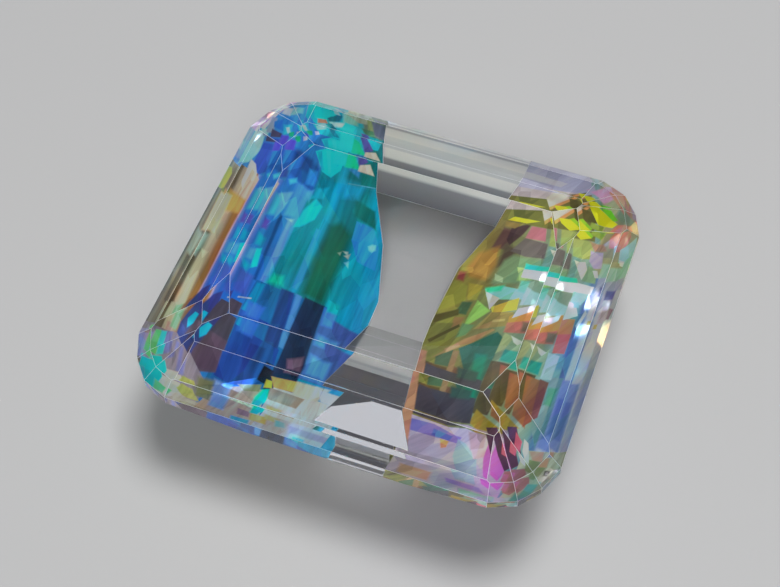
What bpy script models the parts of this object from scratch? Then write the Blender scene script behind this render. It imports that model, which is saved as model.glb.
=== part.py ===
"""Rainbow quartz: a large faceted stone in an eight-sided step cut.

The stone is one solid. It is ground the way a stone is faceted: a plain block is cut back by one
flat facet at a time, each with the compass direction that it faces, its slope from the horizontal
and a point that it passes through. Plan: length along X, width along Y, table up.
"""

import math

import bmesh
import bpy
from mathutils import Vector

MM = 0.001

# --- Driving dimensions -------------------------------------------------------------------------
LENGTH = 28.0 * MM
WIDTH = 25.6 * MM
CULET_TO_GIRDLE = 9.3 * MM          # lowest facet up to the upper edge of the girdle
CROWN_HEIGHT = 2.6 * MM             # upper edge of the girdle up to the table
CULET_HALF_WIDTH = 1.0 * MM
CULET_REACH = {"blue": 1.5 * MM, "gold": 2.4 * MM}   # culet's ends, from the middle of the stone

# The girdle's corner, rounded by three short walls: distances in from the end and from the side.
CORNER_POINTS = (
    (0.0 * MM, 3.7 * MM),
    (0.7 * MM, 2.0 * MM),
    (1.8 * MM, 0.7 * MM),
    (3.5 * MM, 0.0 * MM),
)

# Height of the wall of the girdle, thick in the middle of the long sides and thin elsewhere.
GIRDLE_AT_SIDE = 1.15 * MM
GIRDLE_AT_END = 0.7 * MM

# Crown steps from the girdle up to the table: (width in plan, slope in degrees).
CROWN_SIDE_STEPS = ((1.0 * MM, 39.0), (2.4 * MM, 23.5), (3.0 * MM, 18.5))
CROWN_END_STEPS = ((1.1 * MM, 40.0), (2.7 * MM, 27.5), (2.0 * MM, 20.0))
CROWN_CORNER_STEPS = ((0.91 * MM, 39.2), (3.37 * MM, 23.8), (3.0 * MM, 12.1))

# Pavilion steps from the girdle down to the culet.
# Long sides: distance in from the side and drop below the girdle's lower edge.
PAVILION_SIDE_PROFILE = (
    (0.0 * MM, 0.0 * MM),
    (1.9 * MM, 2.3 * MM),
    (4.6 * MM, 4.7 * MM),
    (7.9 * MM, 6.75 * MM),
)
# Ends: both numbers are fractions of the way from the girdle to the culet.
PAVILION_END_PROFILE = (
    (0.0, 0.0),
    (0.048, 0.118),
    (0.143, 0.278),
    (0.286, 0.453),
    (0.476, 0.645),
    (0.714, 0.833),
    (1.0, 1.0),
)
PAVILION_CORNER_STEPS = ((1.41 * MM, 52.1), (2.58 * MM, 46.0), (6.0 * MM, 36.2))

# The shoulder facets turn from the long side towards the end. They start where the side's steps
# stop, at these distances from the middle, one for each point of the side's profile.
SHOULDER_STARTS = {
    "blue": (5.3 * MM, 5.1 * MM, 4.3 * MM, 2.6 * MM),
    "gold": (5.3 * MM, 5.1 * MM, 4.4 * MM, 2.9 * MM),
}

BLOCK_MARGIN = 2.0                  # the rough block, as a multiple of the finished size
ON_PLANE = 1e-7                     # distance at which a corner counts as lying on a facet

# --- Worked out from the dimensions above -------------------------------------------------------
HALF_LENGTH = LENGTH / 2
HALF_WIDTH = WIDTH / 2
GIRDLE_TOP = CULET_TO_GIRDLE
TABLE_HEIGHT = GIRDLE_TOP + CROWN_HEIGHT
SIDE_GIRDLE_BOTTOM = GIRDLE_TOP - GIRDLE_AT_SIDE
END_GIRDLE_BOTTOM = GIRDLE_TOP - GIRDLE_AT_END
SIDES = (90.0, 270.0)
ENDS = {"gold": 0.0, "blue": 180.0}
DOWN = -1
UP = 1


def outward(direction):
    """Unit vector in plan for a compass direction in degrees, 0 along +X and 90 along +Y."""
    angle = math.radians(direction)
    return Vector((math.cos(angle), math.sin(angle), 0.0))


def rough_block():
    """The uncut block, sitting on the height of the culet."""
    bm = bmesh.new()
    bmesh.ops.create_cube(bm, size=BLOCK_MARGIN)
    bmesh.ops.scale(bm, vec=(LENGTH, WIDTH, TABLE_HEIGHT), verts=bm.verts)
    return bm


def grind(bm, direction, slope, facing, point):
    """Cut one flat facet: remove what lies outside it and close the cut with one face."""
    lean = math.radians(slope)
    normal = outward(direction) * math.sin(lean)
    normal.z = math.cos(lean) * facing
    cut = bmesh.ops.bisect_plane(
        bm,
        geom=bm.verts[:] + bm.edges[:] + bm.faces[:],
        dist=ON_PLANE,
        plane_co=point,
        plane_no=normal,
        clear_outer=True,
    )
    rim = [item for item in cut["geom_cut"] if isinstance(item, bmesh.types.BMEdge)]
    open_rim = [edge for edge in rim if edge.is_boundary]
    if open_rim:
        bmesh.ops.contextual_create(bm, geom=open_rim)


def grind_steps(bm, direction, distance, height, steps, facing):
    """Cut a column of facets inwards from the girdle, each starting where the last one ends."""
    for width, slope in steps:
        point = outward(direction) * distance
        point.z = height
        grind(bm, direction, slope, facing, point)
        height += facing * width * math.tan(math.radians(slope))
        distance -= width


def profile_steps(profile):
    """Turn a profile of (distance in, drop) points into (width, slope) steps."""
    steps = []
    for (inner, high), (outer, low) in zip(profile, profile[1:]):
        width = outer - inner
        steps.append((width, math.degrees(math.atan2(low - high, width))))
    return steps


def corner_walls():
    """Direction and distance from the middle of each short wall, in the corner at +X and +Y."""
    walls = []
    for (end_a, side_a), (end_b, side_b) in zip(CORNER_POINTS, CORNER_POINTS[1:]):
        direction = math.degrees(math.atan2(end_b - end_a, side_a - side_b))
        point = Vector((HALF_LENGTH - end_a, HALF_WIDTH - side_a, 0.0))
        walls.append((direction, point.dot(outward(direction))))
    return walls


def four_corners(direction):
    """The same direction in each of the four corners."""
    return (direction, 180.0 - direction, 180.0 + direction, 360.0 - direction)


def cut_girdle(bm):
    for direction in SIDES:
        grind(bm, direction, 90.0, UP, outward(direction) * HALF_WIDTH)
    for direction in ENDS.values():
        grind(bm, direction, 90.0, UP, outward(direction) * HALF_LENGTH)
    for wall, distance in corner_walls():
        for direction in four_corners(wall):
            grind(bm, direction, 90.0, UP, outward(direction) * distance)


def cut_crown(bm):
    grind(bm, 0.0, 0.0, UP, Vector((0.0, 0.0, TABLE_HEIGHT)))
    for direction in SIDES:
        grind_steps(bm, direction, HALF_WIDTH, GIRDLE_TOP, CROWN_SIDE_STEPS, UP)
    for direction in ENDS.values():
        grind_steps(bm, direction, HALF_LENGTH, GIRDLE_TOP, CROWN_END_STEPS, UP)
    for wall, distance in corner_walls():
        for direction in four_corners(wall):
            grind_steps(bm, direction, distance, GIRDLE_TOP, CROWN_CORNER_STEPS, UP)


def side_profile():
    """The long side's pavilion profile, closed at the edge of the culet."""
    last = (HALF_WIDTH - CULET_HALF_WIDTH, SIDE_GIRDLE_BOTTOM)
    return PAVILION_SIDE_PROFILE + (last,)


def end_profile(end):
    """One end's pavilion profile, from the girdle to that end of the culet."""
    run = HALF_LENGTH - CULET_REACH[end]
    return [(run * inwards, END_GIRDLE_BOTTOM * down) for inwards, down in PAVILION_END_PROFILE]


def cut_shoulder(bm, end, side):
    """The facets between a long side and an end: each holds one mitre line of the side's steps.

    The first one also rises to the point of the corner where the thin part of the girdle starts,
    and that sets the direction that they all face.
    """
    sign_x = outward(ENDS[end]).x
    sign_y = outward(side).y
    starts = SHOULDER_STARTS[end] + (CULET_REACH[end],)
    mitre = []
    for reach, (inwards, drop) in zip(starts, side_profile()):
        place = (sign_x * reach, sign_y * (HALF_WIDTH - inwards), SIDE_GIRDLE_BOTTOM - drop)
        mitre.append(Vector(place))
    corner = Vector((
        sign_x * (HALF_LENGTH - CORNER_POINTS[-1][0]),
        sign_y * HALF_WIDTH,
        END_GIRDLE_BOTTOM,
    ))
    first_normal = (corner - mitre[0]).cross(mitre[1] - mitre[0])
    first_normal *= -math.copysign(1.0, first_normal.z)
    facing = Vector((first_normal.x, first_normal.y, 0.0)).normalized()
    direction = math.degrees(math.atan2(facing.y, facing.x))
    for upper, lower in zip(mitre, mitre[1:]):
        run = (upper - lower).dot(facing)
        slope = math.degrees(math.atan2(upper.z - lower.z, run))
        grind(bm, direction, slope, DOWN, upper)


def cut_pavilion(bm):
    grind(bm, 0.0, 0.0, DOWN, Vector((0.0, 0.0, 0.0)))
    for direction in SIDES:
        steps = profile_steps(side_profile())
        grind_steps(bm, direction, HALF_WIDTH, SIDE_GIRDLE_BOTTOM, steps, DOWN)
    for end, direction in ENDS.items():
        steps = profile_steps(end_profile(end))
        grind_steps(bm, direction, HALF_LENGTH, END_GIRDLE_BOTTOM, steps, DOWN)
    for wall, distance in corner_walls():
        for direction in four_corners(wall):
            grind_steps(bm, direction, distance, END_GIRDLE_BOTTOM, PAVILION_CORNER_STEPS, DOWN)
    for end in ENDS:
        for side in SIDES:
            cut_shoulder(bm, end, side)


def clear_scene():
    for item in list(bpy.data.objects):
        bpy.data.objects.remove(item, do_unlink=True)


def quartz_material():
    material = bpy.data.materials.new("clear_quartz")
    material.use_nodes = True
    shader = material.node_tree.nodes["Principled BSDF"]
    shader.inputs["Base Color"].default_value = (0.62, 0.86, 0.92, 1.0)
    shader.inputs["Metallic"].default_value = 0.0
    shader.inputs["Roughness"].default_value = 0.02
    shader.inputs["IOR"].default_value = 1.544
    shader.inputs["Transmission Weight"].default_value = 1.0
    return material


def make_stone():
    bm = rough_block()
    cut_girdle(bm)
    cut_crown(bm)
    cut_pavilion(bm)
    bmesh.ops.recalc_face_normals(bm, faces=bm.faces)
    mesh = bpy.data.meshes.new("stone")
    bm.to_mesh(mesh)
    bm.free()
    mesh.materials.append(quartz_material())
    return bpy.data.objects.new("stone", mesh)


def main():
    clear_scene()
    collection = bpy.data.collections.new("rainbow_quartz")
    bpy.context.scene.collection.children.link(collection)
    collection.objects.link(make_stone())


main()
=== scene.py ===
"""Looks of the rainbow quartz: clear facets, coated ends, floor, light and camera.

Plan: length along X with the blue end at -X, width along Y with the front at -Y, table up.
"""

import math

import bmesh
import bpy
from mathutils import Matrix, Vector


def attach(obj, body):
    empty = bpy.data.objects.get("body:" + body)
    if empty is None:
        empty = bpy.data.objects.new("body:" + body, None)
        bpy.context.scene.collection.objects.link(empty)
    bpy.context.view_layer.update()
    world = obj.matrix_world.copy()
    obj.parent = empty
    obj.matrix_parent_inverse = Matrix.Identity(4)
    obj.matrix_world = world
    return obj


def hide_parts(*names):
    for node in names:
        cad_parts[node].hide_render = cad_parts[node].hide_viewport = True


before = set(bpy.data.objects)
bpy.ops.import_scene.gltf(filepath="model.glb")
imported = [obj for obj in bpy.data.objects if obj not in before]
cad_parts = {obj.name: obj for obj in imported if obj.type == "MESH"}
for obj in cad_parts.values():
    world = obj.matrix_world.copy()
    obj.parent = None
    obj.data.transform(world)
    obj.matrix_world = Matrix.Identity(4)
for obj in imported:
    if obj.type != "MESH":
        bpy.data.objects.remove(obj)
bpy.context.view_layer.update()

MM = 0.001
UP = Vector((0, 0, 1))
GIRDLE_HEIGHT = 9.3 * MM            # upper edge of the girdle

# --- Facets: what tells them apart ---------------------------------------------------------------
WELD = 1e-6                         # corners closer than this are one
SAME_PLANE = math.radians(0.2)      # triangles that lean less than this are one facet
LEVEL = 0.001                       # a part of a unit normal below this counts as none
DOWNWARDS = -0.1                    # a pavilion facet's normal has a z below this
EDGE_WIDTH = 0.013 * MM             # worn line along an edge

# Material slots of the stone.
CLEAR, BLUE, GOLD, EDGE, PAINTED_REFLECTION = range(5)

# Steps of the pavilion's long sides, as the range of y that their unit normals have.
FRONT_STEEP = (-0.9, -0.6)
FRONT_MIDDLE = (-0.6, -0.45)
BACK_STEEP = (0.6, 0.9)

# Borders of the coats on the front steps: coat, steps, two points x, y in mm. The coat is on the
# right, going from the first point to the second.
# Past these borders the coats carry painted reflection: their cream, white and lavender patches stand in
# for the bright band that these steps reflect.
COAT_AND_PAINTED_REFLECTION_BORDERS = (
    (BLUE, FRONT_MIDDLE, (-1.1, -4.9), (-2.2, -9.0)),
    (BLUE, FRONT_STEEP, (-0.7, -8.0), (-0.7, -12.0)),
    (GOLD, FRONT_STEEP, (3.6, -12.0), (3.6, -8.0)),
)

# --- Materials -----------------------------------------------------------------------------------
QUARTZ_IOR = 1.544
COAT_METAL = 0.4
COAT_ROUGHNESS = 0.06
PAINTED_REFLECTION_METAL = 0.3
PAINTED_REFLECTION_ROUGHNESS = 0.1
WHOLE = (0.0, 1.0)                  # range of a noise, a cell's numbers and a ramp
STREAK_RANGE = (0.3, 0.7)           # part of the noise that the streaks use
STREAK_STRETCH = (3.0, 0.22, 0.0)   # streaks in a mm: many across, few along
CELL_STRETCH = (1.1, 0.45, 0.0)     # the same for the angular cells
BAND_WAVER = 0.12                   # how far a band's edge wavers, mm
BRIGHTEST = 0.95                    # a coat reflects no more than this
NO_HUE_TURN = 0.5                   # the middle of the Hue input


def tint(red, green, blue):
    """A colour given by its 0 to 255 screen values, as the linear values that shaders take."""
    linear = []
    for value in (red, green, blue):
        value /= 255.0
        linear.append(value / 12.92 if value <= 0.04045 else ((value + 0.055) / 1.055) ** 2.4)
    return (*linear, 1.0)


# --- Colours of the coats ------------------------------------------------------------------------
# Bands across the length of the stone: x in mm from its middle, colour.
BLUE_STOPS = (
    (-14.0, tint(60, 58, 50)),
    (-13.4, tint(148, 140, 120)),
    (-12.9, tint(125, 112, 80)),
    (-12.6, tint(98, 85, 62)),
    (-12.3, tint(172, 158, 135)),
    (-11.9, tint(188, 168, 140)),
    (-11.65, tint(168, 146, 122)),
    (-11.35, tint(160, 112, 62)),
    (-11.0, tint(158, 102, 52)),
    (-10.9, tint(185, 140, 130)),
    (-10.82, tint(200, 170, 215)),
    (-10.72, tint(95, 130, 220)),
    (-10.5, tint(38, 118, 205)),
    (-9.8, tint(25, 112, 190)),
    (-9.0, tint(36, 112, 195)),
    (-8.7, tint(60, 150, 225)),
    (-8.5, tint(0, 130, 150)),
    (-7.2, tint(0, 135, 152)),
    (-6.9, tint(15, 155, 200)),
    (-6.5, tint(8, 115, 130)),
    (-4.8, tint(0, 115, 122)),
    (-4.4, tint(0, 155, 178)),
    (-3.0, tint(0, 140, 178)),
    (-1.4, tint(38, 145, 192)),
)
GOLD_STOPS = (
    (2.0, tint(118, 112, 58)),
    (2.6, tint(140, 140, 68)),
    (3.4, tint(150, 148, 66)),
    (4.5, tint(140, 128, 66)),
    (5.5, tint(125, 125, 75)),
    (6.5, tint(125, 130, 84)),
    (7.5, tint(138, 150, 112)),
    (8.5, tint(140, 160, 124)),
    (9.5, tint(150, 182, 165)),
    (10.3, tint(115, 165, 165)),
    (10.6, tint(90, 125, 168)),
    (11.05, tint(110, 135, 182)),
    (11.3, tint(195, 195, 225)),
    (12.1, tint(205, 200, 226)),
    (12.8, tint(205, 210, 220)),
    (13.6, tint(190, 208, 204)),
)
# Painted reflection: bands on the back's two steps under the girdle, whitish with a thin grey line near
# the edge and greyer inwards, stand in for the mirror-like strips these steps show: y in mm from its
# middle, colour.
PAINTED_REFLECTION_STOPS = (
    (8.2, tint(112, 114, 118)),
    (9.5, tint(150, 152, 156)),
    (9.7, tint(238, 240, 234)),
    (10.4, tint(250, 250, 242)),
    (10.5, tint(222, 226, 226)),
    (11.25, tint(236, 238, 232)),
    (11.35, tint(254, 252, 242)),
    (12.0, tint(252, 252, 248)),
    (12.1, tint(206, 208, 210)),
    (12.3, tint(206, 208, 210)),
    (12.4, tint(250, 250, 248)),
    (12.8, tint(252, 252, 250)),
)
# Patches of colour: softness of the edge in mm, colour, corners x, y in mm. They were typed one by one,
# looking at the photo laid out on this plan by rays traced through the crown and the table.
# Both patch tables copy the coats' look from the camera: besides the coats' own colours they hold painted
# reflections, lighter and darker as the coated facets mirror bright and dark surroundings, and their
# near-white and mint patches are painted highlights.
BLUE_PATCHES = (
    # the front half, below a clean line
    (0.05, tint(20, 98, 155), (-9.2, -1.5), (-4.4, -1.0), (-4.2, -9.0), (-9.6, -9.0)),
    (0.15, tint(28, 62, 125), (-7.6, -1.2), (-6.7, -1.1), (-6.0, -6.0), (-7.0, -6.0)),
    (0.12, tint(62, 125, 182), (-6.6, -1.1), (-6.2, -1.1), (-5.9, -3.8), (-6.3, -3.8)),
    (0.12, tint(22, 40, 72), (-6.0, -1.0), (-4.6, -1.0), (-4.0, -8.0), (-6.0, -8.0)),
    (0.12, tint(0, 135, 175), (-9.1, -1.7), (-8.6, -1.5), (-8.7, -5.0), (-9.3, -5.0)),
    (0.2, tint(56, 86, 150), (-4.5, -1.6), (-1.2, -2.1), (-1.6, -5.0), (-4.3, -5.0)),
    (0.3, tint(58, 122, 222), (-4.5, -1.2), (-3.7, -1.3), (-3.6, -2.3), (-4.3, -2.4)),
    (0.25, tint(0, 165, 170), (-4.5, -0.5), (-3.7, -0.5), (-3.6, -1.2), (-4.3, -1.3)),
    (0.05, tint(25, 68, 145), (-9.3, -4.0), (-6.2, -4.0), (-6.1, -6.3), (-7.2, -7.4), (-9.2, -7.6)),
    (0.15, tint(22, 50, 122), (-8.0, -4.6), (-7.0, -4.4), (-6.9, -7.2), (-7.9, -7.4)),
    (0.3, tint(48, 115, 215), (-9.1, -3.2), (-8.0, -3.1), (-8.1, -4.2), (-9.0, -4.3)),
    (0.1, tint(14, 18, 36), (-6.6, -5.2), (-5.9, -5.2), (-6.0, -6.5), (-6.7, -6.3)),
    (0.1, tint(50, 66, 132), (-11.5, -6.2), (-11.2, -5.0), (-10.7, -3.6), (-10.2, -3.0),
     (-10.0, -8.6), (-11.3, -8.6)),
    (0.08, tint(64, 58, 72), (-10.1, -3.6), (-9.35, -3.6), (-9.3, -5.6), (-10.5, -5.6), (-10.35, -4.6)),
    (0.12, tint(88, 70, 86), (-10.5, -5.4), (-9.3, -5.4), (-9.15, -7.4), (-10.1, -8.0),
     (-10.9, -8.3), (-10.9, -7.0)),
    (0.03, tint(150, 165, 175), (-9.8, -3.25), (-9.0, -2.9), (-9.0, -3.0), (-9.8, -3.38)),
    (0.08, tint(0, 190, 235), (-11.1, -5.7), (-10.8, -5.0), (-10.5, -5.0), (-10.6, -5.8), (-10.9, -6.3)),
    # the back half
    (0.12, tint(15, 75, 140), (-9.75, 4.0), (-9.5, 3.8), (-9.25, -1.6), (-9.45, -1.6)),
    (0.3, tint(60, 148, 222), (-9.6, 6.8), (-8.7, 7.2), (-8.7, 4.2), (-9.5, 4.0)),
    (0.45, tint(4, 90, 74), (-6.5, 4.9), (-5.9, 5.5), (-4.9, 4.9), (-4.8, -0.9), (-6.3, -0.9)),
    (0.15, tint(0, 198, 228), (-8.6, 3.5), (-8.5, 5.0), (-8.1, 6.4), (-7.5, 6.0), (-7.6, 4.8),
     (-8.2, 3.8)),
    (0.2, tint(0, 172, 205), (-8.4, 6.2), (-7.7, 6.6), (-7.6, 7.5), (-8.3, 7.2)),
    (0.1, tint(35, 138, 212), (-4.9, 5.9), (-3.6, 5.8), (-2.8, 4.6), (-2.5, 3.0), (-3.9, 3.2),
     (-4.8, 4.6)),
    (0.2, tint(120, 215, 255), (-3.5, 4.5), (-3.3, 4.7), (-3.1, 4.7), (-3.0, 4.4), (-3.2, 4.2),
     (-3.4, 4.3)),
    (0.12, tint(150, 175, 160), (-5.0, 3.5), (-4.7, 3.6), (-4.6, 3.3)),
    (0.12, tint(165, 180, 165), (-4.8, 3.2), (-4.5, 3.5), (-4.5, 3.1)),
    (0.1, tint(120, 150, 135), (-5.3, 3.2), (-5.1, 3.4), (-5.1, 3.1)),
    (0.15, tint(110, 200, 225), (-4.6, 2.7), (-4.4, 2.9), (-4.3, 2.5)),
    (0.2, tint(0, 98, 95), (-5.5, 7.3), (-3.9, 6.9), (-3.4, 5.7), (-5.2, 6.2)),
    (0.5, tint(22, 160, 200), (-6.8, 8.3), (-5.2, 8.3), (-5.4, 7.4), (-6.4, 7.2)),
    (0.1, tint(0, 210, 225), (-9.3, 9.5), (-8.6, 9.9), (-7.2, 9.7), (-7.2, 8.8), (-7.7, 8.2),
     (-8.4, 8.4)),
    (0.08, tint(0, 168, 195), (-9.2, 9.5), (-8.9, 9.65), (-8.3, 8.5), (-8.45, 8.45)),
    (0.1, tint(30, 222, 240), (-8.6, 9.75), (-8.3, 9.8), (-7.8, 8.5), (-7.95, 8.4)),
    (0.08, tint(0, 178, 200), (-7.7, 9.8), (-7.3, 9.75), (-7.3, 9.2), (-7.55, 8.9)),
    (0.15, tint(45, 132, 205), (-7.0, 9.9), (-5.9, 10.0), (-5.8, 8.7), (-6.6, 9.0)),
    (0.1, tint(0, 118, 115), (-5.8, 9.9), (-5.2, 9.9), (-4.2, 8.4), (-5.5, 8.3)),
    (0.03, tint(70, 160, 185), (-6.4, 8.2), (-4.2, 8.45), (-4.2, 8.38), (-6.4, 8.14)),
    (0.3, tint(24, 86, 160), (-10.7, 9.2), (-8.6, 8.6), (-8.4, 6.6), (-10.4, 7.2)),
    (0.3, tint(20, 66, 142), (-10.1, 9.1), (-9.3, 8.9), (-9.1, 7.8), (-10.0, 8.0)),
    (0.2, tint(34, 130, 200), (-9.3, 8.3), (-8.7, 8.3), (-8.6, 7.2), (-9.1, 7.0)),
    (0.3, tint(34, 170, 222), (-10.95, 7.0), (-10.5, 7.2), (-10.5, 6.9), (-10.8, 6.3)),
    (0.2, tint(60, 190, 228), (-10.2, 6.7), (-9.8, 7.1), (-9.7, 6.8), (-10.0, 6.4)),
    (0.15, tint(88, 165, 240), (-10.4, 5.3), (-9.6, 5.9), (-9.7, 4.4), (-9.95, 3.4)),
    (0.3, tint(50, 175, 205), (-10.5, 5.2), (-10.0, 5.0), (-10.0, 3.6), (-10.5, 3.4)),
    (0.25, tint(82, 70, 168), (-10.5, 3.1), (-10.1, 3.0), (-10.1, 2.3), (-10.5, 2.2)),
    (0.3, tint(0, 160, 205), (-10.4, 1.8), (-9.9, 1.6), (-9.9, 0.9), (-10.3, 0.9)),
    (0.15, tint(0, 212, 250), (-10.1, 0.6), (-9.8, 0.8), (-9.6, -0.6), (-9.9, -0.9)),
    (0.25, tint(62, 145, 228), (-10.5, 0.4), (-10.1, 0.5), (-10.1, -0.3), (-10.5, -0.4)),
    (0.35, tint(0, 160, 185), (-10.5, -0.6), (-10.0, -0.8), (-10.1, -1.2), (-10.4, -1.1)),
    (0.3, tint(58, 96, 178), (-10.5, -1.3), (-9.5, -1.4), (-9.4, -3.0), (-10.3, -3.0)),
    (0.3, tint(95, 170, 240), (-10.2, 5.4), (-9.75, 5.8), (-9.75, 4.9), (-10.0, 4.6)),
    (0.2, tint(120, 180, 240), (-9.2, 3.8), (-8.8, 4.0), (-8.8, 3.6)),
    (0.25, tint(70, 160, 228), (-8.9, 6.4), (-8.5, 6.8), (-8.5, 6.0)),
    (0.12, tint(85, 138, 242), (-9.1, 3.8), (-8.8, 3.7), (-8.6, 1.5), (-8.8, -1.4), (-9.0, -1.4)),
    (0.3, tint(0, 188, 160), (-8.6, -1.3), (-7.6, -1.0), (-7.8, -0.3), (-8.4, -0.5)),
    (0.12, tint(40, 148, 215), (-7.2, 4.2), (-6.9, 4.2), (-6.6, 0.0), (-6.7, -0.8), (-7.0, -0.8)),
    # the corner at the back
    (0.05, tint(0, 172, 190), (-11.0, 12.8), (-5.0, 12.8), (-5.2, 9.9), (-9.6, 9.9), (-10.6, 10.9)),
    (0.1, tint(0, 215, 225), (-10.8, 12.8), (-9.0, 12.8), (-8.8, 11.2), (-10.3, 11.0)),
    (0.15, tint(0, 110, 132), (-9.5, 11.3), (-8.7, 12.0), (-8.4, 11.9), (-8.5, 11.3), (-9.2, 11.0)),
    (0.12, tint(200, 118, 98), (-10.1, 11.0), (-9.5, 11.1), (-9.3, 10.8), (-10.0, 10.6)),
    (0.2, tint(165, 205, 215), (-9.2, 11.0), (-8.0, 11.3), (-7.8, 11.0), (-8.9, 10.6)),
    (0.2, tint(120, 185, 160), (-8.5, 12.3), (-7.3, 12.3), (-7.2, 11.4), (-8.2, 11.3)),
    (0.08, tint(0, 122, 145), (-9.3, 10.8), (-9.0, 10.9), (-8.1, 10.05), (-8.5, 10.0)),
    (0.1, tint(140, 248, 245), (-10.0, 10.5), (-9.5, 10.7), (-9.2, 10.5), (-9.8, 10.2)),
    (0.08, tint(0, 205, 225), (-9.9, 12.6), (-9.2, 12.6), (-8.8, 12.0), (-9.5, 11.6)),
    (0.08, tint(150, 232, 240), (-9.3, 12.4), (-8.9, 12.3), (-8.6, 11.9), (-9.0, 11.9)),
    (0.1, tint(0, 238, 245), (-8.1, 11.4), (-7.3, 11.2), (-7.4, 10.5), (-8.3, 10.5)),
    (0.08, tint(0, 140, 160), (-8.1, 10.5), (-7.8, 10.6), (-7.1, 9.95), (-7.4, 9.9)),
    (0.2, tint(105, 125, 112), (-7.2, 12.8), (-5.0, 12.8), (-5.2, 10.6), (-6.6, 11.0)),
    (0.12, tint(160, 172, 150), (-8.2, 12.8), (-6.5, 12.8), (-6.4, 11.8), (-7.2, 11.7), (-8.2, 12.2)),
    (0.12, tint(88, 98, 124), (-6.3, 12.2), (-5.3, 12.1), (-5.0, 10.7), (-5.8, 10.9)),
    (0.15, tint(56, 120, 92), (-6.9, 11.3), (-6.0, 11.3), (-5.7, 10.7), (-6.4, 10.7)),
    (0.12, tint(124, 146, 96), (-6.7, 12.3), (-6.4, 12.3), (-6.0, 11.3), (-6.4, 11.3)),
    (0.15, tint(20, 215, 255), (-8.1, 10.6), (-7.2, 10.6), (-6.9, 9.2), (-7.9, 9.1)),
    (0.15, tint(0, 212, 158), (-7.1, 10.4), (-6.7, 10.2), (-5.9, 9.2), (-7.0, 9.1)),
    (0.1, tint(80, 76, 155), (-6.8, 10.8), (-6.3, 10.8), (-5.5, 9.8), (-6.0, 9.4)),
    (0.08, tint(205, 198, 182), (-6.0, 9.5), (-5.3, 9.7), (-4.8, 9.1), (-6.0, 9.1)),
    (0.05, tint(45, 132, 200), (-14.0, 8.8), (-12.0, 12.8), (-11.0, 12.8), (-10.3, 9.0),
     (-10.4, 6.4), (-14.0, 6.4)),
    (0.1, tint(178, 145, 215), (-14.0, 9.2), (-12.4, 12.6), (-11.7, 12.1), (-12.9, 9.4)),
    (0.15, tint(205, 165, 250), (-12.7, 12.2), (-11.8, 12.3), (-11.9, 11.4), (-12.5, 11.4)),
    (0.15, tint(142, 112, 150), (-13.5, 10.9), (-12.8, 11.2), (-12.8, 10.4), (-13.4, 10.2)),
    (0.06, tint(225, 208, 240), (-12.5, 11.3), (-12.2, 11.2), (-12.6, 9.4), (-12.9, 9.4)),
    (0.2, tint(128, 155, 218), (-14.0, 9.4), (-13.0, 9.4), (-12.8, 6.9), (-14.0, 6.7)),
    (0.15, tint(172, 222, 250), (-14.0, 8.2), (-13.6, 8.1), (-13.5, 7.5), (-14.0, 7.4)),
    (0.15, tint(150, 222, 212), (-12.8, 9.4), (-12.2, 9.6), (-11.8, 8.2), (-12.3, 6.9), (-12.8, 6.5)),
    (0.15, tint(150, 165, 188), (-12.6, 10.6), (-12.1, 10.6), (-11.8, 9.4), (-12.4, 9.2)),
    (0.1, tint(28, 110, 195), (-12.2, 10.3), (-11.3, 10.9), (-10.5, 10.4), (-11.0, 9.8), (-12.0, 9.9)),
    (0.12, tint(38, 165, 225), (-11.3, 10.3), (-10.6, 10.5), (-10.3, 9.8), (-10.9, 9.6)),
    (0.08, tint(165, 220, 245), (-11.0, 10.15), (-10.75, 10.25), (-10.4, 9.85), (-10.6, 9.75)),
    (0.08, tint(0, 150, 105), (-10.5, 9.85), (-10.15, 10.0), (-10.0, 9.6), (-10.35, 9.5)),
    (0.06, tint(165, 172, 240), (-9.95, 10.0), (-9.7, 10.1), (-9.55, 9.85), (-9.8, 9.7)),
    (0.15, tint(200, 212, 238), (-12.1, 11.5), (-11.4, 11.6), (-11.4, 10.9), (-12.1, 10.9)),
    (0.15, tint(120, 188, 232), (-11.5, 11.6), (-11.0, 11.7), (-10.9, 11.1), (-11.4, 11.0)),
    (0.1, tint(60, 56, 88), (-12.0, 9.7), (-11.0, 9.6), (-10.8, 9.3), (-11.8, 9.0)),
    (0.2, tint(40, 80, 168), (-11.9, 8.9), (-10.8, 9.2), (-10.4, 6.8), (-10.9, 6.3), (-11.9, 7.0)),
    (0.12, tint(80, 68, 190), (-11.0, 9.5), (-10.3, 9.6), (-10.2, 8.9), (-10.8, 8.6)),
    # the end
    (0.15, tint(215, 240, 60), (-14.0, 5.6), (-13.3, 5.9), (-12.9, 5.5), (-13.0, 4.1), (-14.0, 3.8)),
    (0.2, tint(112, 132, 60), (-13.1, 4.2), (-12.4, 4.0), (-12.5, 2.8), (-13.1, 2.9)),
    (0.15, tint(225, 218, 222), (-12.2, 7.2), (-11.6, 7.0), (-11.1, 6.3), (-11.6, 4.6), (-12.0, 5.2)),
    (0.1, tint(210, 182, 160), (-11.7, 6.6), (-10.65, 6.0), (-10.8, 3.9), (-11.7, 4.0)),
    (0.3, tint(205, 160, 85), (-12.6, 4.2), (-10.9, 4.0), (-10.9, 2.8), (-12.6, 2.4)),
    (0.25, tint(232, 204, 160), (-13.0, 3.8), (-12.2, 3.8), (-12.1, 0.6), (-12.9, 0.4)),
    (0.3, tint(145, 165, 155), (-13.6, 0.4), (-12.4, 0.2), (-12.6, -1.8), (-13.4, -1.6)),
    (0.12, tint(78, 68, 48), (-13.1, -1.8), (-12.6, -1.8), (-12.6, -5.8), (-13.0, -5.6)),
    (0.2, tint(205, 192, 158), (-12.4, -1.0), (-11.8, -1.0), (-11.5, -5.2), (-12.4, -6.2)),
    (0.12, tint(196, 200, 166), (-12.6, -5.6), (-12.1, -5.4), (-12.0, -7.2), (-12.6, -7.4)),
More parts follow.
